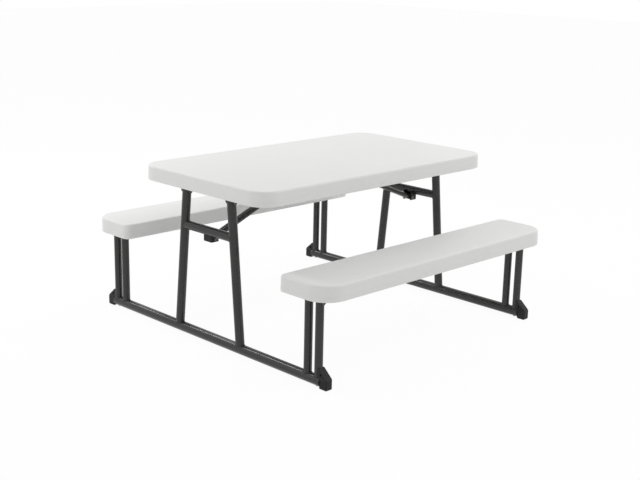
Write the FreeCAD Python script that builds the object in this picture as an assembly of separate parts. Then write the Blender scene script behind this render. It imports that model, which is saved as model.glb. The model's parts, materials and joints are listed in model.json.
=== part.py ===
import FreeCAD, Part
import math
import os

# A child's picnic table that folds flat. A moulded tabletop and two moulded benches are carried
# by two welded tube frames, one at each end. Each frame is pinned under the tabletop and under
# both benches, so the table folds as a parallelogram, and a sloping brace holds each frame upright.
# X runs along the tabletop, Y from the front bench to the back bench, Z up from the floor.
# The origin is on the floor, under the middle of the table. All lengths are millimetres.

# Tabletop
TABLE_HEIGHT = 480.0
TOP_LENGTH = 930.0
TOP_WIDTH = 531.0
TOP_RIM_DEPTH = 42.0
TOP_CORNER = 63.0

# Benches. Each is longer than the tabletop by the overhang at each end, and its corners are
# tight on the side of the tabletop and wide on the outer side.
BENCH_HEIGHT = 283.5
BENCH_OVERHANG = 5.0
BENCH_WIDTH = 175.0
BENCH_RIM_DEPTH = 43.5
BENCH_OUTER_CORNER = 68.0
BENCH_INNER_CORNER = 20.0
BENCH_GAP = 63.0

# Moulded panels, shared by the tabletop and the benches
PANEL_THICKNESS = 26.0
SIDE_DRAFT = 1.5
RIM_WIDTH = 22.0
RECESS_DRAFT = 4.0
RECESS_CORNER = 8.0
EDGE_ROUND = 6.0
LOWER_ROUND = 2.5
DIMPLE_RADIUS = 10.0
DIMPLE_FLOOR_RADIUS = 5.0
DIMPLE_DEPTH = 18.0
DIMPLE_PITCH = 72.0
TOP_DIMPLE_ROWS = 4
TOP_ROW_PITCH = 106.0
DIMPLE_COLUMNS = 10

# Tube stock. The braces are of flattened tube, wider across than they are deep.
TUBE_WALL = 1.5
BASE_DIAMETER = 28.6
LEG_DIAMETER = 25.4
POST_DIAMETER = 22.2
CROSSBAR_DIAMETER = 25.4
BRACE_WIDTH = 24.0
BRACE_DEPTH = 14.5

# Places of the tubes in an end frame
FRAME_INSET = 39.4
BASE_END_MARGIN = 1.1
FOOT_SOLE = 3.0
LEG_TOP_SPREAD = 192.0
LEG_FOOT_SPREAD = 268.0
POST_SPACING = 39.6
POST_OUTSET = 4.0
CROSSBAR_DROP = 99.1
PIVOT_RIM_CLEARANCE = 0.6
TUBE_END_ABOVE_PIVOT = 10.0

# Hinge bolts and brackets
BOLT_DIAMETER = 6.0
BOLT_HEAD_DIAMETER = 12.0
BOLT_HEAD_THICKNESS = 2.6
BOLT_HEAD_BEVEL = 1.0
NUT_ACROSS_CORNERS = 11.5
NUT_THICKNESS = 3.5
PLATE_THICKNESS = 2.0
EAR_RADIUS = 7.5
EAR_SIDE_ROOM = 0.4
BRACKET_OUTBOARD = 12.0
BRACKET_INBOARD = 38.0
RUNNING_CLEARANCE = 0.08
OPEN_PIVOT_CLEARANCE = 0.5
HEAD_CLEARANCE = 0.2

# Screws that hold brackets, receivers and feet
SCREW_DIAMETER = 4.0
SCREW_HEAD_DIAMETER = 8.0
SCREW_HEAD_THICKNESS = 2.2
SCREW_BITE = 8.0
SCREW_EDGE = 9.0

# Braces, their clevises and their receivers
BRACE_SET_IN = 12.0
BRACE_DROP = 22.4
BRACE_EYE_LENGTH = 16.0
BRACE_TIP_LENGTH = 14.0
SPIGOT_LENGTH = 18.0
CLEVIS_WIDTH = 33.0
CLEVIS_OUTBOARD = 4.8
CLEVIS_INBOARD = 21.0
CLEVIS_CHIN = 8.2
CLEVIS_ROUND = 2.0
BRACE_SIDE_ROOM = 0.5
BRACE_END_ROOM = 0.5
RECEIVER_SPACING = 154.0
RECEIVER_LENGTH = 36.0
RECEIVER_CHEEK = 4.0
RECEIVER_DEPTH = 24.0
RECEIVER_WEB = 7.0
RECEIVER_PLATE = 3.0
RECEIVER_FLANGE = 12.0
RECEIVER_SIDE_ROOM = 0.5
RECEIVER_TOP_ROOM = 0.5

# Feet: a plug in the tube's end with a flange, a sole and a fin against the outer post
FOOT_WIDTH = 24.0
FOOT_LENGTH = 28.0
FOOT_SHOULDER = 31.0
FOOT_PEAK = 54.0
FOOT_PLUG = 30.0
FOOT_FLANGE = 3.0
FOOT_BEVEL = 3.0
FOOT_FIN_WIDTH = 20.0
FIN_HOLE_DIAMETER = 6.0
FIN_HOLE_OUT = 6.0
FIN_HOLE_RISE = 7.0

# Tools run past the faces that they cut by the overrun. Edges are found within the slack.
OVERRUN = 5.0
SLACK = 0.005

ENDS = {"left": -1, "right": 1}
SIDES = {"front": -1, "back": 1}
UP = FreeCAD.Vector(0, 0, 1)
BACK = FreeCAD.Vector(0, 1, 0)

# Heights and places that follow from the sizes above
BENCH_LENGTH = TOP_LENGTH + 2 * BENCH_OVERHANG
TOP_RIM_BOTTOM = TABLE_HEIGHT - TOP_RIM_DEPTH
TOP_CEILING = TABLE_HEIGHT - PANEL_THICKNESS
TOP_PIVOT_HEIGHT = TOP_RIM_BOTTOM - LEG_DIAMETER / 2 - PIVOT_RIM_CLEARANCE
BENCH_RIM_BOTTOM = BENCH_HEIGHT - BENCH_RIM_DEPTH
BENCH_CEILING = BENCH_HEIGHT - PANEL_THICKNESS
BENCH_PIVOT_HEIGHT = BENCH_RIM_BOTTOM - POST_DIAMETER / 2 - PIVOT_RIM_CLEARANCE
BENCH_CENTRE = TOP_WIDTH / 2 + BENCH_GAP + BENCH_WIDTH / 2
POST_CENTRE = BENCH_CENTRE + POST_OUTSET
POST_OUTER_SIDE = POST_CENTRE + POST_SPACING / 2 + POST_DIAMETER / 2
FRAME_X = TOP_LENGTH / 2 - FRAME_INSET
BASE_AXIS_HEIGHT = FOOT_SOLE + BASE_DIAMETER / 2
BASE_END = POST_OUTER_SIDE + BASE_END_MARGIN
LEG_SLOPE = (LEG_FOOT_SPREAD - LEG_TOP_SPREAD) / 2 / (TOP_PIVOT_HEIGHT - BASE_AXIS_HEIGHT)
LEG_WIDTH_ACROSS = LEG_DIAMETER * math.sqrt(1 + LEG_SLOPE**2) + 2 * TUBE_END_ABOVE_PIVOT * LEG_SLOPE
LEG_EAR_GAP = LEG_WIDTH_ACROSS + 2 * EAR_SIDE_ROOM
POST_EAR_GAP = POST_SPACING + POST_DIAMETER + 2 * EAR_SIDE_ROOM
CROSSBAR_HEIGHT = TOP_PIVOT_HEIGHT - CROSSBAR_DROP
BRACE_RUN = FRAME_X - BRACE_SET_IN - RECEIVER_SPACING / 2
BRACE_PIVOT_HEIGHT = CROSSBAR_HEIGHT - BRACE_DROP
BRACE_RISE = TOP_CEILING - RECEIVER_WEB - RECEIVER_TOP_ROOM - BRACE_DEPTH / 2 - BRACE_PIVOT_HEIGHT
BRACE_REACH = math.hypot(BRACE_RUN, BRACE_RISE)


def rod(start, end, diameter):
    """A solid round bar between two points."""
    axis = end - start
    return Part.makeCylinder(diameter / 2, axis.Length, start, axis)


def tube(start, end, diameter):
    """A round tube between two points."""
    return rod(start, end, diameter).cut(rod(start, end, diameter - 2 * TUBE_WALL))


def block(low, high):
    """A box between two corners given in any order."""
    corner = FreeCAD.Vector(min(low.x, high.x), min(low.y, high.y), min(low.z, high.z))
    size = FreeCAD.Vector(abs(high.x - low.x), abs(high.y - low.y), abs(high.z - low.z))
    return Part.makeBox(size.x, size.y, size.z, corner)


def edges_at(shape, height):
    """The edges of a shape that lie level at one height."""
    return [edge for edge in shape.Edges
            if abs(edge.BoundBox.ZMin - height) < SLACK and abs(edge.BoundBox.ZMax - height) < SLACK]


def edges_round(shape, middle):
    """The round edges of a shape that are centred on one point."""
    return [edge for edge in shape.Edges if (edge.CenterOfMass - middle).Length < SLACK]


def solid_between(bottom, top):
    """A solid between two level outlines of equally many points."""
    rings = [bottom, top]
    for index in range(len(bottom)):
        rings.append([bottom[index - 1], bottom[index], top[index], top[index - 1]])
    faces = [Part.Face(Part.makePolygon(ring + ring[:1])) for ring in rings]
    return Part.Solid(Part.Shell(faces))


def tapered_block(length, width, corners, centre, low, high, taper):
    """A round-cornered block about a centre on the Y axis, whose sides lean in by the taper."""
    rise = UP * (high - low)
    cones = []
    bottom = []
    top = []
    for turn, (x_sign, y_sign) in enumerate([(1, 1), (-1, 1), (-1, -1), (1, -1)]):
        corner = corners[y_sign]
        y = centre + y_sign * (width / 2 - corner)
        middle = FreeCAD.Vector(x_sign * (length / 2 - corner), y, low)
        cones.append(Part.makeCone(corner, corner - taper, rise.Length, middle, UP))
        for quarter in (turn, turn + 1):
            angle = quarter * math.pi / 2
            outward = FreeCAD.Vector(math.cos(angle), math.sin(angle), 0)
            bottom.append(middle + outward * corner)
            top.append(middle + rise + outward * (corner - taper))
    return solid_between(bottom, top).fuse(cones).removeSplitter()


def moulded_panel(length, width, corners, rim_depth, top, centre, dimples):
    """A blow-moulded slab: drafted sides, a rolled top edge, a deep rim, a recess and dimples."""
    bottom = top - rim_depth
    ceiling = top - PANEL_THICKNESS
    slab = tapered_block(length, width, corners, centre, bottom, top, SIDE_DRAFT)
    slab = slab.makeFillet(EDGE_ROUND, edges_at(slab, top))
    slab = slab.makeFillet(LOWER_ROUND, edges_at(slab, bottom))
    slope = RECESS_DRAFT / (ceiling - bottom)
    mouth_inset = RIM_WIDTH - slope * OVERRUN
    mouth_corners = {side: max(corner - mouth_inset, RECESS_CORNER) for side, corner in corners.items()}
    recess = tapered_block(length - 2 * mouth_inset, width - 2 * mouth_inset, mouth_corners, centre,
                           bottom - OVERRUN, ceiling, RECESS_DRAFT + slope * OVERRUN)
    cones = []
    for x, y in dimples:
        mouth = FreeCAD.Vector(x, y, ceiling)
        cones.append(Part.makeCone(DIMPLE_RADIUS, DIMPLE_FLOOR_RADIUS, DIMPLE_DEPTH, mouth, UP))
    return slab.cut([recess] + cones)


def spread(count, pitch):
    """Evenly spaced places about zero."""
    return [(index - (count - 1) / 2) * pitch for index in range(count)]


def tabletop():
    places = [(x, y) for x in spread(DIMPLE_COLUMNS, DIMPLE_PITCH)
              for y in spread(TOP_DIMPLE_ROWS, TOP_ROW_PITCH)]
    corners = {1: TOP_CORNER, -1: TOP_CORNER}
    return moulded_panel(TOP_LENGTH, TOP_WIDTH, corners, TOP_RIM_DEPTH, TABLE_HEIGHT, 0, places)


def bench(side):
    centre = side * BENCH_CENTRE
    places = [(x, centre) for x in spread(DIMPLE_COLUMNS, DIMPLE_PITCH)]
    corners = {side: BENCH_OUTER_CORNER, -side: BENCH_INNER_CORNER}
    return moulded_panel(BENCH_LENGTH, BENCH_WIDTH, corners, BENCH_RIM_DEPTH, BENCH_HEIGHT,
                         centre, places)


def screw(seat, inward):
    """A pan-head screw whose head lies on a face, with its shank going inward."""
    head = Part.makeCylinder(SCREW_HEAD_DIAMETER / 2, SCREW_HEAD_THICKNESS, seat, -inward)
    return head.fuse(screw_shank(seat, inward)).removeSplitter()


def screw_shank(seat, inward):
    return Part.makeCylinder(SCREW_DIAMETER / 2, SCREW_BITE, seat, inward)


def hinge_bolt(middle, grip, side):
    """A round-headed bolt along Y with its head on the outer side and a nut on the inner side."""
    reach = grip / 2 + PLATE_THICKNESS + HEAD_CLEARANCE
    outward = BACK * side
    head_seat = middle + outward * reach
    nut_seat = middle - outward * reach
    head = Part.makeCylinder(BOLT_HEAD_DIAMETER / 2, BOLT_HEAD_THICKNESS, head_seat, outward)
    crown = head_seat + outward * BOLT_HEAD_THICKNESS
    head = head.makeChamfer(BOLT_HEAD_BEVEL, edges_round(head, crown))
    shank = Part.makeCylinder(BOLT_DIAMETER / 2, 2 * reach, nut_seat, outward)
    return head.fuse([shank, hexagon(nut_seat, -outward)]).removeSplitter()


def hexagon(seat, direction):
    """A nut as a six-sided block."""
    corners = []
    for turn in range(6):
        angle = turn * math.pi / 3
        offset = FreeCAD.Vector(math.cos(angle), 0, math.sin(angle)) * (NUT_ACROSS_CORNERS / 2)
        corners.append(seat + offset)
    return Part.Face(Part.makePolygon(corners + corners[:1])).extrude(direction * NUT_THICKNESS)


def ear_outline(pivot, inboard, height, y):
    """A plate edge that runs from a flat top to a round nose about the pivot."""
    def tangent(x, turn):
        distance = math.hypot(x, height)
        angle = math.atan2(height, x) + turn * math.acos(EAR_RADIUS / distance)
        return FreeCAD.Vector(EAR_RADIUS * math.cos(angle), 0, EAR_RADIUS * math.sin(angle))
    right = max(inboard * BRACKET_INBOARD, -inboard * BRACKET_OUTBOARD)
    left = min(inboard * BRACKET_INBOARD, -inboard * BRACKET_OUTBOARD)
    origin = FreeCAD.Vector(pivot.x, y, pivot.z)
    top_right = origin + FreeCAD.Vector(right, 0, height)
    top_left = origin + FreeCAD.Vector(left, 0, height)
    low_right = origin + tangent(right, -1)
    low_left = origin + tangent(left, 1)
    nose = Part.Arc(low_right, origin - UP * EAR_RADIUS, low_left).toShape()
    sides = [Part.LineSegment(top_left, top_right).toShape(),
             Part.LineSegment(top_right, low_right).toShape(),
             nose,
             Part.LineSegment(low_left, top_left).toShape()]
    return Part.Wire(sides)


def bracket_screw_places(pivot, inboard, ceiling):
    """The two screw seats on the underside of a bracket's plate."""
    z = ceiling - PLATE_THICKNESS
    near = SCREW_EDGE
    far = BRACKET_INBOARD - SCREW_EDGE
    return [FreeCAD.Vector(pivot.x + inboard * x, pivot.y, z) for x in (near, far)]


def hinge_bracket(pivot, inboard, gap, ceiling, clearance):
    """A bent steel channel screwed under a panel, with two ears that carry a hinge bolt."""
    height = ceiling - pivot.z
    half = gap / 2 + PLATE_THICKNESS
    low = FreeCAD.Vector(pivot.x - inboard * BRACKET_OUTBOARD, pivot.y - half, ceiling - PLATE_THICKNESS)
    high = FreeCAD.Vector(pivot.x + inboard * BRACKET_INBOARD, pivot.y + half, ceiling)
    body = block(low, high)
    for start in (pivot.y - half, pivot.y + gap / 2):
        ear = Part.Face(ear_outline(pivot, inboard, height, start)).extrude(BACK * PLATE_THICKNESS)
        body = body.fuse(ear)
    bore_start = FreeCAD.Vector(pivot.x, pivot.y - half - OVERRUN, pivot.z)
    bore_end = FreeCAD.Vector(pivot.x, pivot.y + half + OVERRUN, pivot.z)
    body = body.removeSplitter().cut(rod(bore_start, bore_end, BOLT_DIAMETER + 2 * clearance))
    return body.cut([screw_shank(seat, UP) for seat in bracket_screw_places(pivot, inboard, ceiling)])


def base_point(end, y):
    return FreeCAD.Vector(end * FRAME_X, y, BASE_AXIS_HEIGHT)


def base_tube(end):
    """The long tube along the floor, drilled at both ends for the foot screws."""
    body = tube(base_point(end, -BASE_END), base_point(end, BASE_END), BASE_DIAMETER)
    return body.cut([foot_screw(end, side) for side in SIDES.values()])


def base_outside(end):
    return rod(base_point(end, -BASE_END), base_point(end, BASE_END), BASE_DIAMETER)


def leg_centre(end, side, height):
    spread_here = LEG_TOP_SPREAD / 2 + (TOP_PIVOT_HEIGHT - height) * LEG_SLOPE
    return FreeCAD.Vector(end * FRAME_X, side * spread_here, height)


def leg_ends(end, side):
    top = TOP_PIVOT_HEIGHT + TUBE_END_ABOVE_PIVOT
    return leg_centre(end, side, BASE_AXIS_HEIGHT), leg_centre(end, side, top)


def top_pivot(end, side):
    return leg_centre(end, side, TOP_PIVOT_HEIGHT)


def leg(end, side):
    """A sloping leg, shaped to sit on the base tube and drilled for its hinge bolt."""
    body = tube(*leg_ends(end, side), LEG_DIAMETER).cut(base_outside(end))
    pivot = top_pivot(end, side)
    return body.cut(rod(pivot - BACK * LEG_DIAMETER, pivot + BACK * LEG_DIAMETER, BOLT_DIAMETER))


def crossbar(end):
    """The bar between the legs, shaped to their round sides."""
    start = leg_centre(end, -1, CROSSBAR_HEIGHT)
    stop = leg_centre(end, 1, CROSSBAR_HEIGHT)
    body = tube(start, stop, CROSSBAR_DIAMETER)
    return body.cut([rod(*leg_ends(end, side), LEG_DIAMETER) for side in SIDES.values()])


def post_y(side, place):
    return side * (POST_CENTRE + place * POST_SPACING / 2)


def bench_pivot(end, side):
    return FreeCAD.Vector(end * FRAME_X, side * POST_CENTRE, BENCH_PIVOT_HEIGHT)


def post_line(end, side, place):
    top = BENCH_PIVOT_HEIGHT + TUBE_END_ABOVE_PIVOT
    foot = base_point(end, post_y(side, place))
    return foot, FreeCAD.Vector(foot.x, foot.y, top)


def post(end, side, place):
    """One of a pair of upright bench posts. Place is 1 for the outer post and -1 for the inner."""
    body = tube(*post_line(end, side, place), POST_DIAMETER).cut(base_outside(end))
    pivot = bench_pivot(end, side)
    return body.cut(rod(pivot - BACK * POST_EAR_GAP, pivot + BACK * POST_EAR_GAP, BOLT_DIAMETER))


def foot(end, side):
    """A moulded foot: a plug in the base tube's end, a flange, a sole and a fin by the outer post."""
    x = end * FRAME_X
    tip = BASE_END + FOOT_LENGTH
    sole = block(FreeCAD.Vector(x - FOOT_WIDTH / 2, side * BASE_END, 0),
                 FreeCAD.Vector(x + FOOT_WIDTH / 2, side * tip, FOOT_SHOULDER))
    sole = sole.makeChamfer(FOOT_BEVEL, sole.Edges)
    low = FOOT_SHOULDER - FOOT_BEVEL
    profile = [(POST_CENTRE, low), (tip - FOOT_BEVEL, low), (tip - FOOT_BEVEL, FOOT_SHOULDER),
               (POST_OUTER_SIDE, FOOT_PEAK), (POST_CENTRE, FOOT_PEAK)]
    points = [FreeCAD.Vector(x - FOOT_FIN_WIDTH / 2, side * y, z) for y, z in profile]
    fin = Part.Face(Part.makePolygon(points + points[:1])).extrude(FreeCAD.Vector(FOOT_FIN_WIDTH, 0, 0))
    fin = fin.cut([rod(*post_line(end, side, 1), POST_DIAMETER), base_outside(end)])
    fin = max(fin.Solids, key=lambda solid: side * solid.CenterOfMass.y)
    hole = FreeCAD.Vector(x, side * (POST_OUTER_SIDE + FIN_HOLE_OUT), FOOT_SHOULDER + FIN_HOLE_RISE)
    across = FreeCAD.Vector(FOOT_FIN_WIDTH, 0, 0)
    fin = fin.cut(rod(hole - across, hole + across, FIN_HOLE_DIAMETER))
    flange = rod(base_point(end, side * BASE_END), base_point(end, side * (BASE_END + FOOT_FLANGE)),
                 BASE_DIAMETER)
    plug = rod(base_point(end, side * (BASE_END - FOOT_PLUG)), base_point(end, side * BASE_END),
               BASE_DIAMETER - 2 * TUBE_WALL)
    return sole.fuse([fin, flange, plug]).removeSplitter().cut(foot_screw(end, side))


def foot_screw(end, side):
    """The screw that holds a foot's plug, driven up through the underside of the tube."""
    seat = FreeCAD.Vector(end * FRAME_X, side * (BASE_END - FOOT_PLUG / 2), FOOT_SOLE)
    return screw(seat, UP)


def brace_direction(end):
    return FreeCAD.Vector(-end * BRACE_RUN, 0, BRACE_RISE) / BRACE_REACH


def brace_pivot(end):
    return FreeCAD.Vector(end * (FRAME_X - BRACE_SET_IN), 0, BRACE_PIVOT_HEIGHT)


def brace_point(end, distance):
    return brace_pivot(end) + brace_direction(end) * distance


def clevis(end):
    """The moulded block under the crossbar whose two cheeks carry the brace."""
    x = end * FRAME_X
    pivot = brace_pivot(end)
    chin = pivot.z - CLEVIS_CHIN
    body = block(FreeCAD.Vector(x + end * CLEVIS_OUTBOARD, -CLEVIS_WIDTH / 2, chin),
                 FreeCAD.Vector(x - end * CLEVIS_INBOARD, CLEVIS_WIDTH / 2, CROSSBAR_HEIGHT))
    body = body.makeFillet(CLEVIS_ROUND, edges_at(body, chin))
    bar = FreeCAD.Vector(x, 0, CROSSBAR_HEIGHT)
    half_slot = BRACE_WIDTH / 2 + BRACE_SIDE_ROOM
    slot_back = pivot.x + end * (BRACE_DEPTH / 2 + BRACE_END_ROOM)
    slot = block(FreeCAD.Vector(slot_back, -half_slot, chin - OVERRUN),
                 FreeCAD.Vector(x - end * (CLEVIS_INBOARD + OVERRUN), half_slot, CROSSBAR_HEIGHT + OVERRUN))
    across = BACK * CLEVIS_WIDTH
    return body.cut([rod(bar - across, bar + across, CROSSBAR_DIAMETER),
                     slot,
                     rod(pivot - across, pivot + across, BOLT_DIAMETER)])


def brace_pin(end):
    """The pin that the brace turns on, with a domed head on each cheek."""
    pivot = brace_pivot(end)
    half = CLEVIS_WIDTH / 2
    pieces = [rod(pivot - BACK * half, pivot + BACK * half, BOLT_DIAMETER)]
    for side in SIDES.values():
        face = pivot + BACK * (side * half)
        wide = BOLT_HEAD_DIAMETER / 2
        pieces.append(Part.makeCone(wide, BOLT_DIAMETER / 2, BOLT_HEAD_THICKNESS / 2, face, BACK * side))
    return pieces[0].fuse(pieces[1:]).removeSplitter()


def brace_bar(end, start, stop, inset):
    """A stretch of flat-sided oval bar along the brace, smaller all round by an inset."""
    middle = brace_point(end, start)
    flat = BACK * ((BRACE_WIDTH - BRACE_DEPTH) / 2)
    radius = BRACE_DEPTH / 2 - inset
    above = brace_direction(end).cross(BACK) * radius
    across = BACK * radius
    near = Part.Arc(middle - flat + above, middle - flat - across, middle - flat - above).toShape()
    far = Part.Arc(middle + flat - above, middle + flat + across, middle + flat + above).toShape()
    sides = [near,
             Part.LineSegment(middle - flat - above, middle + flat - above).toShape(),
             far,
             Part.LineSegment(middle + flat + above, middle - flat + above).toShape()]
    return Part.Face(Part.Wire(sides)).extrude(brace_direction(end) * (stop - start))


def brace_plug(end, nose, shoulder):
    """A moulded end of the brace: a round nose, a flat body up to a shoulder and a spigot."""
    outward = math.copysign(1, nose - shoulder)
    above = brace_direction(end).cross(BACK) * (BRACE_DEPTH / 2)
    edge = BACK * (BRACE_WIDTH / 2)
    round_middle = brace_point(end, nose) - edge
    shoulder_middle = brace_point(end, shoulder) - edge
    tip = brace_point(end, nose + outward * BRACE_DEPTH / 2) - edge
    sides = [Part.Arc(round_middle + above, tip, round_middle - above).toShape(),
             Part.LineSegment(round_middle - above, shoulder_middle - above).toShape(),
             Part.LineSegment(shoulder_middle - above, shoulder_middle + above).toShape(),
             Part.LineSegment(shoulder_middle + above, round_middle + above).toShape()]
    body = Part.Face(Part.Wire(sides)).extrude(BACK * BRACE_WIDTH)
    return body.fuse(brace_bar(end, shoulder, shoulder - outward * SPIGOT_LENGTH, TUBE_WALL))


def brace_eye(end):
    """The brace's lower end, drilled for its pin."""
    pivot = brace_pivot(end)
    bore = BOLT_DIAMETER + 2 * RUNNING_CLEARANCE
    across = BACK * BRACE_WIDTH
    return brace_plug(end, 0, BRACE_EYE_LENGTH).cut(rod(pivot - across, pivot + across, bore))


def brace_tube(end):
    stop = BRACE_REACH - BRACE_TIP_LENGTH
    body = brace_bar(end, BRACE_EYE_LENGTH, stop, 0)
    return body.cut(brace_bar(end, BRACE_EYE_LENGTH, stop, TUBE_WALL))


def brace_tip(end):
    return brace_plug(end, BRACE_REACH, BRACE_REACH - BRACE_TIP_LENGTH)


def receiver_screw_places(end):
    offset = BRACE_WIDTH / 2 + RECEIVER_SIDE_ROOM + RECEIVER_CHEEK + RECEIVER_FLANGE / 2
    x = end * RECEIVER_SPACING / 2
    return [FreeCAD.Vector(x, side * offset, TOP_CEILING - RECEIVER_PLATE) for side in SIDES.values()]


def receiver(end):
    """The channel under the tabletop that holds the brace's tip between two cheeks."""
    x = end * RECEIVER_SPACING / 2
    half_length = RECEIVER_LENGTH / 2
    half_slot = BRACE_WIDTH / 2 + RECEIVER_SIDE_ROOM
    half_width = half_slot + RECEIVER_CHEEK
    bottom = TOP_CEILING - RECEIVER_DEPTH
    body = block(FreeCAD.Vector(x - half_length, -half_width, bottom),
                 FreeCAD.Vector(x + half_length, half_width, TOP_CEILING))
    slot = block(FreeCAD.Vector(x - half_length - OVERRUN, -half_slot, bottom - OVERRUN),
                 FreeCAD.Vector(x + half_length + OVERRUN, half_slot, TOP_CEILING - RECEIVER_WEB))
    reach = half_width + RECEIVER_FLANGE
    plate = block(FreeCAD.Vector(x - half_length, -reach, TOP_CEILING - RECEIVER_PLATE),
                  FreeCAD.Vector(x + half_length, reach, TOP_CEILING))
    body = body.cut(slot).fuse(plate).removeSplitter()
    return body.cut([screw_shank(seat, UP) for seat in receiver_screw_places(end)])


def top_screw_seats():
    seats = []
    for end in ENDS.values():
        seats = seats + receiver_screw_places(end)
        for side in SIDES.values():
            seats = seats + bracket_screw_places(top_pivot(end, side), -end, TOP_CEILING)
    return seats


def bench_screw_seats(side):
    seats = []
    for end in ENDS.values():
        seats = seats + bracket_screw_places(bench_pivot(end, side), -end, BENCH_CEILING)
    return seats


def drilled(panel, seats):
    """A panel with a pilot hole for each screw."""
    return panel.cut([screw_shank(seat, UP) for seat in seats])


def all_pieces():
    """Every piece of the table, by name."""
    pieces = {"tabletop": drilled(tabletop(), top_screw_seats()),
              "tabletop_screws": Part.makeCompound([screw(seat, UP) for seat in top_screw_seats()])}
    for side_name, side in SIDES.items():
        seats = bench_screw_seats(side)
        pieces[side_name + "_bench"] = drilled(bench(side), seats)
        pieces[side_name + "_bench_screws"] = Part.makeCompound([screw(seat, UP) for seat in seats])
    for end_name, end in ENDS.items():
        pieces.update(end_pieces(end_name, end))
    return pieces


def end_pieces(end_name, end):
    """The pieces of one end frame, its brackets and its brace."""
    pieces = {"base_tube": base_tube(end),
              "crossbar": crossbar(end),
              "brace_clevis": clevis(end),
              "brace_pin": brace_pin(end),
              "brace_eye": brace_eye(end),
              "brace_tube": brace_tube(end),
              "brace_tip": brace_tip(end),
              "brace_receiver": receiver(end)}
    open_room = {-1: RUNNING_CLEARANCE, 1: OPEN_PIVOT_CLEARANCE}
    for side_name, side in SIDES.items():
        pivot = top_pivot(end, side)
        pieces[side_name + "_leg"] = leg(end, side)
        pieces[side_name + "_leg_bolt"] = hinge_bolt(pivot, LEG_EAR_GAP, side)
        pieces[side_name + "_top_bracket"] = hinge_bracket(pivot, -end, LEG_EAR_GAP, TOP_CEILING,
                                                           RUNNING_CLEARANCE)
        seat = bench_pivot(end, side)
        pieces[side_name + "_outer_post"] = post(end, side, 1)
        pieces[side_name + "_inner_post"] = post(end, side, -1)
        pieces[side_name + "_bench_bolt"] = hinge_bolt(seat, POST_EAR_GAP, side)
        pieces[side_name + "_bench_bracket"] = hinge_bracket(seat, -end, POST_EAR_GAP, BENCH_CEILING,
                                                             open_room[end])
        pieces[side_name + "_foot"] = foot(end, side)
    pieces["foot_screws"] = Part.makeCompound([foot_screw(end, side) for side in SIDES.values()])
    return {end_name + "_" + name: shape for name, shape in pieces.items()}


os.makedirs("parts", exist_ok=True)
for name, shape in all_pieces().items():
    shape.exportStep("parts/" + name + ".step")
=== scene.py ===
import json
import math

import bpy
from mathutils import Matrix, Vector


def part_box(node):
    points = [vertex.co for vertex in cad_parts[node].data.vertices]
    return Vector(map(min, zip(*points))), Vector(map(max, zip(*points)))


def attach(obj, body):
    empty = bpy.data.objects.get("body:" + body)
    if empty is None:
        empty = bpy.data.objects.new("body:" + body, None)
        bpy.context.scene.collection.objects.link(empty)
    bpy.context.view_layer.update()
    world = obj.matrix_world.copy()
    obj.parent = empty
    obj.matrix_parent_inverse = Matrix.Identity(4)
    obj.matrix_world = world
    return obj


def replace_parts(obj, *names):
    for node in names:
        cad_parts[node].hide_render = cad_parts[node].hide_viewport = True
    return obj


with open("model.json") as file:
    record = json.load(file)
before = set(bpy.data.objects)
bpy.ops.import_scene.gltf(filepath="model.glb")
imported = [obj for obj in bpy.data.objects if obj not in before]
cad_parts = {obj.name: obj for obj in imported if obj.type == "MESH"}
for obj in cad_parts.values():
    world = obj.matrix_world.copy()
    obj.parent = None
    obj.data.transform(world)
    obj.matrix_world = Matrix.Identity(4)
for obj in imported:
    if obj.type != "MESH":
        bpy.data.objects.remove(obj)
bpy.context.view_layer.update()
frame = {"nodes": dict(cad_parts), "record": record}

# A child's folding picnic table: two end frames of round tube, a moulded top and two moulded
# benches. The solids give every place and size. This script adds the finishes, the welds, the
# drive recesses of the bolts and screws, and the parting lines of the moulded panels.
# Lengths are metres.

MM = 0.001
UP = Vector((0, 0, 1))
ENDS = {"left": -1, "right": 1}
SIDES = {"front": -1, "back": 1}

# The photograph's viewpoint
CAMERA_PLACE = Vector((-2.325, -2.3405, 1.098))
CAMERA_AZIMUTH = math.radians(-44.906)
CAMERA_TILT = math.radians(14.788)
CAMERA_ROLL = math.radians(1.235)
CAMERA_LENS = 63.13
SENSOR_WIDTH = 36.0

# Sizes that the solids' boxes don't give
LEG_TOP_SPREAD = 192 * MM
LEG_FOOT_SPREAD = 268 * MM
TOP_CORNER = 63 * MM
BENCH_OUTER_CORNER = 68 * MM
BENCH_INNER_CORNER = 20 * MM
SIDE_DRAFT = 1.5 * MM

# Edges that bend more than these angles stay sharp, in degrees
SOLID_SHARP_ANGLE = 28
TURNED_SHARP_ANGLE = 35
BEAD_SHARP_ANGLE = 80

# Welds
WELD_RADIUS = 1.5 * MM
WELD_RIPPLE_SHARE = 0.16
WELD_RIPPLES = 34
WELD_STEPS = 170
WELD_SIDES = 8

# Bolts, nuts, pins and screws
BOLT_RADIUS = 3 * MM
BOLT_HEAD_RADIUS = 6 * MM
BOLT_HEAD_HEIGHT = 2.6 * MM
BOLT_SOCKET_ACROSS = 4 * MM
BOLT_SOCKET_DEPTH = 1.6 * MM
NUT_ACROSS = 10 * MM
NUT_HEIGHT = 3.5 * MM
PIN_DOME_HEIGHT = 1.3 * MM
SCREW_RADIUS = 2 * MM
SCREW_HEAD_RADIUS = 4 * MM
SCREW_HEAD_HEIGHT = 2.2 * MM
SCREW_SOCKET_ACROSS = 2.6 * MM
SCREW_SOCKET_DEPTH = 1.3 * MM
TURNED_SIDES = 36

# No screw is as long as this, and no two of a node's screws stand as near each other
SCREW_GAP = 16 * MM

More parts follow.
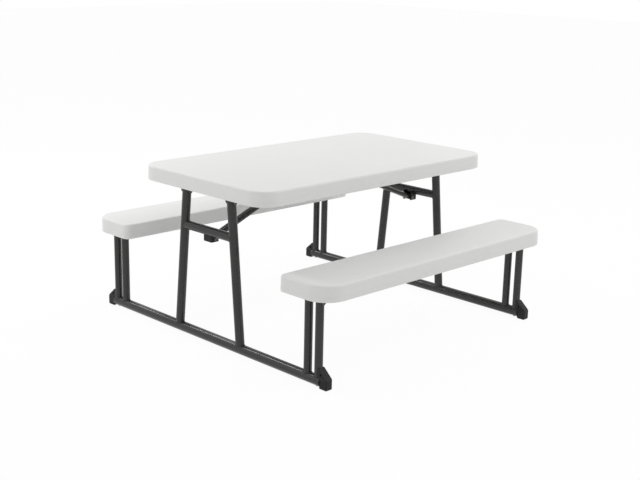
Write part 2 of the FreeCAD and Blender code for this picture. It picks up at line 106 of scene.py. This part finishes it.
# Outlines of domed heads from the seat up, as shares of the head's radius and of its height
HEAD_SHARES = [(0.62, 0), (0.95, 0), (1, 0.08), (1, 0.34),
               (0.94, 0.58), (0.82, 0.80), (0.66, 0.95), (0.52, 1)]
RIVET_SHARES = [(0.9, 0), (1, 0.12), (0.96, 0.4), (0.82, 0.7), (0.6, 0.9), (0.3, 1)]

# The drive recess: how wide its mouth flares and how far down, and its drilled point
SOCKET_MOUTH_SHARE = 1.08
SOCKET_LIP_SHARE = 0.95
SOCKET_POINT_RADIUS_SHARE = 0.12
SOCKET_POINT_DEPTH_SHARE = 1.2

# The nut from its seat up, as shares of half its width across flats and of its height: a round
# ring, rings that the flats cut, and a round ring again. Then the bolt's end in it, as shares of
# the bolt's radius and of the nut's height.
NUT_CORNER_SHARE = 1 / math.cos(math.pi / 6)
NUT_SEAT_SHARES = [(0.66, 0)]
NUT_FLAT_SHARES = [(0.98, 0), (NUT_CORNER_SHARE, 0.12), (NUT_CORNER_SHARE, 0.80), (0.98, 0.92)]
NUT_FACE_SHARES = [(0.78, 0.93)]
BOLT_END_SHARES = [(1, 0.88), (1, 0.98), (0.86, 1)]

# Parting lines round the moulded panels
SEAM_RADIUS = 0.45 * MM
SEAM_HEIGHT_SHARE = 0.3
SEAM_SIDES = 6
SEAM_CORNER_STEPS = 24

# Finishes: a darker and a paler colour, the least roughness and how far it rises above that,
# and the depth of the texture. A pale panel's flecks count by a share in its pebbled grain.
PANEL_SHADE = (0.715, 0.715, 0.705)
PANEL_PALE = (0.785, 0.785, 0.775)
PANEL_ROUGHNESS = 0.42
PANEL_ROUGHNESS_SPREAD = 0.16
PANEL_FLECK_SHARE = 0.4
PANEL_GRAIN_DEPTH = 0.22 * MM
PANEL_WAVE_DEPTH = 1.2 * MM
COAT_DARK = (0.020, 0.020, 0.0195)
COAT_LIGHT = (0.028, 0.028, 0.0272)
COAT_ROUGHNESS = 0.20
COAT_ROUGHNESS_SPREAD = 0.10
COAT_PEEL_DEPTH = 0.02 * MM
FITTING_DARK = (0.010, 0.010, 0.010)
FITTING_LIGHT = (0.015, 0.015, 0.0147)
FITTING_ROUGHNESS = 0.46
FITTING_ROUGHNESS_SPREAD = 0.14
FITTING_GRAIN_DEPTH = 0.10 * MM
STEEL_DARK = (0.085, 0.083, 0.080)
STEEL_LIGHT = (0.14, 0.137, 0.132)
STEEL_ROUGHNESS = 0.32
STEEL_ROUGHNESS_SPREAD = 0.14
STEEL_STAIN_DEPTH = 0.04 * MM
FLOOR_SHADE = (0.92, 0.92, 0.92)
FLOOR_PALE = (0.94, 0.94, 0.94)
FLOOR_ROUGHNESS = 0.9

# The Mix node's colour sockets, whose names its number sockets share
MIX_FIRST_COLOUR = 6
MIX_SECOND_COLOUR = 7
MIX_COLOUR_RESULT = 2

# Floor, surroundings and lamps
FLOOR_HALF = 14.0
FLOOR_GLOW = 0.95
SKY_STRENGTH = 0.665
LAMP_TARGET = Vector((0, 0, 0.25))

# Soft boxes: place, width and length, and power in watts
DOWNWARD_BOXES = {"overhead_box": (Vector((0.04, 1.8, 1.65)), (0.9, 1.6), 5.0),
                  "strip_box": (Vector((-0.75, 2.2, 2.1)), (0.30, 1.9), 24.0)}
AIMED_BOXES = {"right_box": (Vector((2.2, 0.5, 1.9)), (0.9, 0.9), 6.5),
               "left_box": (Vector((-2.4, 1.0, 1.2)), (0.7, 0.7), 4.0),
               "front_box": (Vector((1.5, -1.7, 2.5)), (1.4, 1.4), 18.0)}


class Value:
    """A socket of a node graph that works in plain arithmetic."""

    def __init__(self, graph, socket):
        self.graph = graph
        self.socket = socket

    def _math(self, operation, *values):
        return self.graph.node("ShaderNodeMath", {"operation": operation}, dict(enumerate(values)))

    def __add__(self, other):
        return self._math("ADD", self, other)

    def __sub__(self, other):
        return self._math("SUBTRACT", self, other)

    def __rsub__(self, other):
        return self._math("SUBTRACT", other, self)

    def __mul__(self, other):
        return self._math("MULTIPLY", self, other)

    __radd__ = __add__
    __rmul__ = __mul__


class Graph:
    """The node graph of a material or of the world."""

    def __init__(self, owner):
        self.owner = owner
        owner.use_nodes = True
        self.tree = owner.node_tree
        self.tree.nodes.clear()

    def node(self, kind, settings=None, inputs=None, output=0):
        """Adds a node: its settings first, then the values or links of its sockets."""
        made = self.tree.nodes.new(kind)
        for name, setting in (settings or {}).items():
            setattr(made, name, setting)
        for name, value in (inputs or {}).items():
            if isinstance(value, Value):
                self.tree.links.new(value.socket, made.inputs[name])
            else:
                made.inputs[name].default_value = value
        return Value(self, made.outputs[output]) if made.outputs else None

    def place(self):
        """The point on the piece, in metres."""
        return self.node("ShaderNodeTexCoord", output="Object")

    def noise(self, scale, detail=2.0):
        """Soft clouds from 0 to 1, so many to the metre."""
        inputs = {"Vector": self.place(), "Scale": scale, "Detail": detail}
        return self.node("ShaderNodeTexNoise", {"noise_dimensions": "3D"}, inputs)

    def pebbles(self, scale, smoothness):
        """Rounded cells, so many to the metre."""
        inputs = {"Vector": self.place(), "Scale": scale, "Smoothness": smoothness}
        return self.node("ShaderNodeTexVoronoi", {"feature": "SMOOTH_F1"}, inputs)

    def tint(self, amount, low, high):
        """A colour between two, by an amount from 0 to 1."""
        inputs = {"Factor": amount, MIX_FIRST_COLOUR: (*low, 1), MIX_SECOND_COLOUR: (*high, 1)}
        return self.node("ShaderNodeMix", {"data_type": "RGBA"}, inputs, output=MIX_COLOUR_RESULT)

    def bump(self, height, depth, strength, under=None):
        """A surface that rises with a height, on top of another one if that is given."""
        inputs = {"Height": height, "Distance": depth, "Strength": strength}
        if under:
            inputs["Normal"] = under
        return self.node("ShaderNodeBump", None, inputs)

    def principled(self, **inputs):
        named = {name.replace("_", " "): value for name, value in inputs.items()}
        return self.node("ShaderNodeBsdfPrincipled", None, named)

    def seen(self):
        """1 for what the camera sees, straight, in a gloss or through glass, and 0 for plain light."""
        straight = self.node("ShaderNodeLightPath", output="Is Camera Ray")
        mirrored = self.node("ShaderNodeLightPath", output="Is Glossy Ray")
        through = self.node("ShaderNodeLightPath", output="Is Transmission Ray")
        return straight + mirrored + through

    def finish(self, surface, kind="Material"):
        self.node("ShaderNodeOutput" + kind, None, {"Surface": surface})
        return self.owner


def moulded_plastic():
    """Pale blow-moulded plastic: a fine pebbled grain and faint clouds of tone."""
    graph = Graph(bpy.data.materials.new("moulded_plastic"))
    clouds = graph.noise(scale=7.0, detail=3.0)
    flecks = graph.noise(scale=900.0, detail=1.0)
    pebbles = graph.pebbles(scale=520.0, smoothness=0.6)
    colour = graph.tint((clouds + flecks) * 0.5, PANEL_SHADE, PANEL_PALE)
    grain = graph.bump(pebbles + flecks * PANEL_FLECK_SHARE, PANEL_GRAIN_DEPTH, strength=0.55)
    waves = graph.bump(clouds, PANEL_WAVE_DEPTH, strength=0.25, under=grain)
    roughness = PANEL_ROUGHNESS + graph.noise(scale=60.0) * PANEL_ROUGHNESS_SPREAD
    return graph.finish(graph.principled(Base_Color=colour, Roughness=roughness, Normal=waves,
                                         IOR=1.48))


def powder_coat():
    """Charcoal powder coat with a faint orange-peel surface."""
    graph = Graph(bpy.data.materials.new("charcoal_powder_coat"))
    peel = graph.noise(scale=420.0)
    colour = graph.tint(graph.noise(scale=16.0, detail=3.0), COAT_DARK, COAT_LIGHT)
    surface = graph.bump(peel, COAT_PEEL_DEPTH, strength=0.4)
    roughness = COAT_ROUGHNESS + peel * COAT_ROUGHNESS_SPREAD
    return graph.finish(graph.principled(Base_Color=colour, Roughness=roughness, Normal=surface,
                                         IOR=1.45))


def black_plastic():
    """Black moulded plastic with a fine spark-eroded grain."""
    graph = Graph(bpy.data.materials.new("black_moulded_plastic"))
    grain = graph.noise(scale=1100.0)
    colour = graph.tint(graph.noise(scale=40.0), FITTING_DARK, FITTING_LIGHT)
    surface = graph.bump(grain, FITTING_GRAIN_DEPTH, strength=0.6)
    roughness = FITTING_ROUGHNESS + grain * FITTING_ROUGHNESS_SPREAD
    return graph.finish(graph.principled(Base_Color=colour, Roughness=roughness, Normal=surface,
                                         Specular_IOR_Level=0.25))


def blackened_steel():
    """Dark plated steel of the bolts, pins and screws."""
    graph = Graph(bpy.data.materials.new("blackened_steel"))
    stain = graph.noise(scale=260.0, detail=3.0)
    colour = graph.tint(stain, STEEL_DARK, STEEL_LIGHT)
    surface = graph.bump(stain, STEEL_STAIN_DEPTH, strength=0.5)
    roughness = STEEL_ROUGHNESS + stain * STEEL_ROUGHNESS_SPREAD
    return graph.finish(graph.principled(Base_Color=colour, Metallic=0.75, Roughness=roughness,
                                         Normal=surface))


def pale_floor():
    """A floor that looks white to the camera and keeps the table's soft shadow."""
    graph = Graph(bpy.data.materials.new("pale_floor"))
    colour = graph.tint(graph.noise(scale=1.4), FLOOR_SHADE, FLOOR_PALE)
    matt = graph.principled(Base_Color=colour, Roughness=FLOOR_ROUGHNESS)
    white = graph.node("ShaderNodeEmission", None, {"Strength": 1.0})
    mixed = graph.node("ShaderNodeMixShader", None, {0: graph.seen() * FLOOR_GLOW, 1: matt, 2: white})
    return graph.finish(mixed)


FINISHES = {"moulded_panel": moulded_plastic(),
            "charcoal_steel": powder_coat(),
            "black_plastic": black_plastic(),
            "dark_fasteners": blackened_steel()}


def shade(mesh, sharp_angle):
    """Smooth shading with the edges kept that bend more than an angle in degrees."""
    mesh.polygons.foreach_set("use_smooth", [True] * len(mesh.polygons))
    mesh.set_sharp_from_angle(angle=math.radians(sharp_angle))


def mesh_from(name, points, faces, sharp_angle):
    mesh = bpy.data.meshes.new(name)
    mesh.from_pydata([tuple(point) for point in points], [], faces)
    mesh.update()
    shade(mesh, sharp_angle)
    return mesh


def add_piece(name, mesh, body, slot):
    """A mesh as a shown piece that rides on a body."""
    thing = bpy.data.objects.new(name, mesh)
    bpy.context.scene.collection.objects.link(thing)
    mesh.materials.append(FINISHES[slot])
    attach(thing, body)
    return thing


def box_middle(node):
    low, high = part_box(node)
    return (low + high) / 2


def box_size(node):
    low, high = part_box(node)
    return high - low


def body_of(node):
    bodies = frame["record"]["behaviour"]["bodies"]
    return next(body for body, nodes in bodies.items() if node in nodes)


def ring_faces(rings, sides, closed):
    """Faces between rings of points that lie one after the other."""
    faces = []
    for ring in range(rings if closed else rings - 1):
        here, there = ring * sides, (ring + 1) % rings * sides
        for side in range(sides):
            after = (side + 1) % sides
            faces.append((here + side, here + after, there + after, there + side))
    return faces


def bead(path, middle, sides, radius_at):
    """A closed round bead along a loop of points about a middle, whose radius may vary."""
    points = []
    count = len(path)
    for index, place in enumerate(path):
        along = (path[(index + 1) % count] - path[index - 1]).normalized()
        out = place - middle
        out = (out - along * out.dot(along)).normalized()
        across = along.cross(out)
        for side in range(sides):
            angle = 2 * math.pi * side / sides
            points.append(place + (out * math.cos(angle) + across * math.sin(angle)) * radius_at(index))
    return points, ring_faces(count, sides, True)


def paint_solids():
    """Gives every solid its finish and smooth shading."""
    slots = {part["node"]: part["material_slot"] for part in frame["record"]["subparts"]}
    for name, thing in frame["nodes"].items():
        thing.data.materials.clear()
        thing.data.materials.append(FINISHES[slots[name]])
        shade(thing.data, SOLID_SHARP_ANGLE)


def weld_radius(index):
    """A bead that swells and narrows as the welder's dips leave it."""
    ripple = math.cos(2 * math.pi * WELD_RIPPLES * index / WELD_STEPS)
    return WELD_RADIUS * (1 + WELD_RIPPLE_SHARE * ripple)


def weld_angles():
    return [2 * math.pi * step / WELD_STEPS for step in range(WELD_STEPS)]


def add_weld(name, path, middle, body):
    points, faces = bead(path, middle, WELD_SIDES, weld_radius)
    add_piece(name, mesh_from(name, points, faces, BEAD_SHARP_ANGLE), body, "charcoal_steel")


def foot_weld_path(base_middle, base_radius, lean, radius):
    """The line where an upright or leaning tube meets the top of the base tube."""
    axis = Vector((0, lean, 1)).normalized()
    side = Vector((1, 0, 0))
    depth = axis.cross(side)
    path = []
    for angle in weld_angles():
        reach = math.sqrt(base_radius**2 - (radius * math.cos(angle))**2)
        along = (reach - radius * math.sin(angle) * depth.z) / axis.z
        ring = (side * math.cos(angle) + depth * math.sin(angle)) * radius
        path.append(base_middle + axis * along + ring)
    return path


def crossbar_weld_path(bar_end, bar_radius, lean, leg_radius, side):
    """The line where the crossbar meets the inner side of a leg."""
    normal = Vector((0, 1, -lean)).normalized()
    path = []
    for angle in weld_angles():
        x = bar_radius * math.cos(angle)
        z = bar_radius * math.sin(angle)
        inward = -side * math.sqrt(max(0, leg_radius**2 - x**2))
        path.append(bar_end + Vector((x, (inward - z * normal.z) / normal.y, z)))
    return path


def add_frame_welds(end_name):
    """Every weld of one end frame."""
    body = end_name + "_frame"
    base = end_name + "_base_tube"
    bar = end_name + "_crossbar"
    base_middle = box_middle(base)
    base_radius = box_size(base).x / 2
    bar_radius = box_size(bar).x / 2
    bar_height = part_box(bar)[0].z + bar_radius
    leg_height = box_middle(end_name + "_front_leg_bolt").z - base_middle.z
    lean_size = (LEG_FOOT_SPREAD - LEG_TOP_SPREAD) / 2 / leg_height
    for side_name, side in SIDES.items():
        start = end_name + "_" + side_name
        leg_radius = box_size(start + "_leg").x / 2
        lean = -side * lean_size
        foot = base_middle + Vector((0, side * LEG_FOOT_SPREAD / 2, 0))
        add_weld(start + "_leg_weld", foot_weld_path(foot, base_radius, lean, leg_radius), foot, body)
        rise = bar_height - base_middle.z
        bar_end = foot + Vector((0, lean * rise, rise))
        path = crossbar_weld_path(bar_end, bar_radius, lean, leg_radius, side)
        add_weld(start + "_crossbar_weld", path, Vector((foot.x, 0, bar_height)), body)
        for place in ("inner", "outer"):
            post = start + "_" + place + "_post"
            foot = Vector((base_middle.x, box_middle(post).y, base_middle.z))
            path = foot_weld_path(foot, base_radius, 0, box_size(post).x / 2)
            add_weld(post + "_weld", path, foot, body)


def turned(rings, place, axis):
    """Points and faces of a turned piece. A ring is (round radius, width across six flats, height).
    Where both are given, the ring is the smaller of the two, as on a chamfered nut."""
    side_way = axis.orthogonal().normalized()
    other_way = axis.cross(side_way)
    points = []
    for radius, across, height in rings:
        for step in range(TURNED_SIDES):
            angle = 2 * math.pi * step / TURNED_SIDES
            reach = radius
            if across:
                from_flat = angle % (math.pi / 3) - math.pi / 6
                reach = min(radius, across / 2 / math.cos(from_flat))
            ring_way = side_way * math.cos(angle) + other_way * math.sin(angle)
            points.append(place + axis * height + ring_way * reach)
    faces = ring_faces(len(rings), TURNED_SIDES, False)
    faces.append(tuple(reversed(range(TURNED_SIDES))))
    last = (len(rings) - 1) * TURNED_SIDES
    faces.append(tuple(range(last, last + TURNED_SIDES)))
    return points, faces


def joined(parts):
    """Several lists of points and faces as one."""
    points, faces = [], []
    for more_points, more_faces in parts:
        start = len(points)
        points = points + more_points
        faces = faces + [tuple(start + index for index in face) for face in more_faces]
    return points, faces


def round_rings(shares, radius, height):
    """Round rings at shares of a radius and of a height."""
    return [(radius * out, 0, height * up) for out, up in shares]


def socket_head(radius, height, across, depth):
    """Rings of a domed head with a six-sided drive recess."""
    recess = [(math.inf, across * SOCKET_MOUTH_SHARE, height),
              (math.inf, across, height * SOCKET_LIP_SHARE),
              (math.inf, across, height - depth),
              (across * SOCKET_POINT_RADIUS_SHARE, 0, height - depth * SOCKET_POINT_DEPTH_SHARE)]
    return round_rings(HEAD_SHARES, radius, height) + recess


def nut_rings():
    """Rings of a chamfered nut from its seat up, with the bolt's end in it."""
    half = NUT_ACROSS / 2
    flats = [(half * out, NUT_ACROSS, NUT_HEIGHT * up) for out, up in NUT_FLAT_SHARES]
    return (round_rings(NUT_SEAT_SHARES, half, NUT_HEIGHT) + flats
            + round_rings(NUT_FACE_SHARES, half, NUT_HEIGHT)
            + round_rings(BOLT_END_SHARES, BOLT_RADIUS, NUT_HEIGHT))


def shank_rings(radius, length):
    return [(radius, 0, 0), (radius, 0, length)]


def replace_with(node, parts):
    """Shows turned parts in the place of a plain solid."""
    name = node + "_turned"
    mesh = mesh_from(name, *joined(parts), TURNED_SHARP_ANGLE)
    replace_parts(add_piece(name, mesh, body_of(node), "dark_fasteners"), node)


def dress_bolt(node, side):
    """A bolt along Y with a socket head on the outer side and a chamfered nut on the inner."""
    low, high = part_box(node)
    middle = (low + high) / 2
    outward = Vector((0, side, 0))
    half = (high.y - low.y) / 2
    head_seat = middle + outward * (half - BOLT_HEAD_HEIGHT)
    nut_seat = middle - outward * (half - NUT_HEIGHT)
    head = socket_head(BOLT_HEAD_RADIUS, BOLT_HEAD_HEIGHT, BOLT_SOCKET_ACROSS, BOLT_SOCKET_DEPTH)
    grip = (head_seat - nut_seat).length
    replace_with(node, [turned(head, head_seat, outward),
                        turned(nut_rings(), nut_seat, -outward),
                        turned(shank_rings(BOLT_RADIUS, grip), nut_seat, outward)])


def dress_pin(node):
    """The brace's pin: a plain shank with a domed rivet head at each end."""
    middle = box_middle(node)
    half = box_size(node).y / 2 - PIN_DOME_HEIGHT
    dome = round_rings(RIVET_SHARES, BOLT_HEAD_RADIUS, PIN_DOME_HEIGHT)
    start = middle - Vector((0, half, 0))
    parts = [turned(shank_rings(BOLT_RADIUS, 2 * half), start, Vector((0, 1, 0)))]
    for side in SIDES.values():
        outward = Vector((0, side, 0))
        parts.append(turned(dome, middle + outward * half, outward))
    replace_with(node, parts)


def clusters(node, reach):
    """The boxes of the separate solids in a node, told apart by their distance."""
    groups = []
    for vertex in frame["nodes"][node].data.vertices:
        for group in groups:
            if (group[0] - vertex.co).length < reach:
                group.append(vertex.co.copy())
                break
        else:
            groups.append([vertex.co.copy()])
    boxes = []
    for group in groups:
        low = Vector([min(point[axis] for point in group) for axis in range(3)])
        high = Vector([max(point[axis] for point in group) for axis in range(3)])
        boxes.append((low, high))
    return boxes


def dress_screws(node):
    """Upright pan-head screws with a drive recess in the head, which faces down."""
    head = socket_head(SCREW_HEAD_RADIUS, SCREW_HEAD_HEIGHT, SCREW_SOCKET_ACROSS, SCREW_SOCKET_DEPTH)
    parts = []
    for low, high in clusters(node, SCREW_GAP):
        middle = (low + high) / 2
        seat = Vector((middle.x, middle.y, low.z + SCREW_HEAD_HEIGHT))
        parts.append(turned(head, seat, -UP))
        parts.append(turned(shank_rings(SCREW_RADIUS, high.z - seat.z), seat, UP))
    replace_with(node, parts)


def rounded_loop(low, high, corners, height):
    """A level rounded rectangle as points. Its corners are given by the side of Y they lie on."""
    points = []
    for turn, (x_sign, y_sign) in enumerate([(1, 1), (-1, 1), (-1, -1), (1, -1)]):
        corner = corners[y_sign]
        x = (high.x - corner) if x_sign > 0 else (low.x + corner)
        y = (high.y - corner) if y_sign > 0 else (low.y + corner)
        for step in range(SEAM_CORNER_STEPS + 1):
            angle = (turn + step / SEAM_CORNER_STEPS) * math.pi / 2
            points.append(Vector((x + corner * math.cos(angle), y + corner * math.sin(angle), height)))
    return points


def add_parting_line(node, corners):
    """The fine raised line that the two mould halves leave round a panel's rim."""
    low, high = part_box(node)
    height = low.z + SEAM_HEIGHT_SHARE * (high.z - low.z)
    inset = Vector((1, 1, 0)) * SIDE_DRAFT * SEAM_HEIGHT_SHARE
    inset_corners = {side: corner - inset.x for side, corner in corners.items()}
    path = rounded_loop(low + inset, high - inset, inset_corners, height)
    middle = (low + high) / 2
    middle.z = height
    points, faces = bead(path, middle, SEAM_SIDES, lambda index: SEAM_RADIUS)
    name = node + "_parting_line"
    add_piece(name, mesh_from(name, points, faces, BEAD_SHARP_ANGLE), body_of(node), "moulded_panel")


def dress_table():
    """Everything that the solids leave out."""
    for end_name in ENDS:
        add_frame_welds(end_name)
    for node in sorted(frame["nodes"]):
        if node.endswith("_bolt"):
            dress_bolt(node, SIDES[node.split("_")[1]])
        if node.endswith("_pin"):
            dress_pin(node)
        if node.endswith("_screws"):
            dress_screws(node)
    add_parting_line("tabletop", {side: TOP_CORNER for side in SIDES.values()})
    for side_name, side in SIDES.items():
        add_parting_line(side_name + "_bench", {side: BENCH_OUTER_CORNER, -side: BENCH_INNER_CORNER})


def add_floor():
    corners = [(-1, -1), (1, -1), (1, 1), (-1, 1)]
    points = [Vector((x * FLOOR_HALF, y * FLOOR_HALF, 0)) for x, y in corners]
    mesh = mesh_from("floor", points, [(0, 1, 2, 3)], SOLID_SHARP_ANGLE)
    mesh.materials.append(pale_floor())
    floor = bpy.data.objects.new("floor", mesh)
    bpy.context.scene.collection.objects.link(floor)


def add_world():
    """Plain white surroundings: full white to the camera, softer as light."""
    graph = Graph(bpy.data.worlds.new("studio"))
    seen = graph.seen()
    strength = seen + (1 - seen) * SKY_STRENGTH
    sky = graph.node("ShaderNodeBackground", None, {"Color": (1, 1, 1, 1), "Strength": strength})
    bpy.context.scene.world = graph.finish(sky, "World")


def add_lamp(name, place, target, size, power):
    """A soft box aimed at a point."""
    lamp = bpy.data.lights.new(name, "AREA")
    lamp.shape = "RECTANGLE"
    lamp.size, lamp.size_y = size
    lamp.energy = power
    thing = bpy.data.objects.new(name, lamp)
    thing.location = place
    thing.rotation_euler = (target - place).to_track_quat("-Z", "Y").to_euler()
    bpy.context.scene.collection.objects.link(thing)


def add_lamps():
    """The boxes that shine straight down give the tubes their bright lines, the others fill."""
    for name, (place, size, power) in DOWNWARD_BOXES.items():
        add_lamp(name, place, place - UP, size, power)
    for name, (place, size, power) in AIMED_BOXES.items():
        add_lamp(name, place, LAMP_TARGET, size, power)


def add_camera():
    """The photograph's camera, from its azimuth, tilt and roll."""
    azimuth, tilt = CAMERA_AZIMUTH, CAMERA_TILT
    level_ahead = Vector((-math.sin(azimuth), math.cos(azimuth), 0))
    ahead = level_ahead * math.cos(tilt) - UP * math.sin(tilt)
    level = Vector((math.cos(azimuth), math.sin(azimuth), 0))
    above = level.cross(ahead)
    right = level * math.cos(CAMERA_ROLL) + above * math.sin(CAMERA_ROLL)
    up = above * math.cos(CAMERA_ROLL) - level * math.sin(CAMERA_ROLL)
    data = bpy.data.cameras.new("camera")
    data.lens = CAMERA_LENS
    data.sensor_width = SENSOR_WIDTH
    camera = bpy.data.objects.new("camera", data)
    turn = Matrix((right, up, -ahead)).transposed().to_4x4()
    camera.matrix_world = Matrix.Translation(CAMERA_PLACE) @ turn
    bpy.context.scene.collection.objects.link(camera)
    bpy.context.scene.camera = camera


paint_solids()
dress_table()
add_floor()
add_world()
add_lamps()
add_camera()
bpy.context.scene.view_settings.view_transform = "Standard"
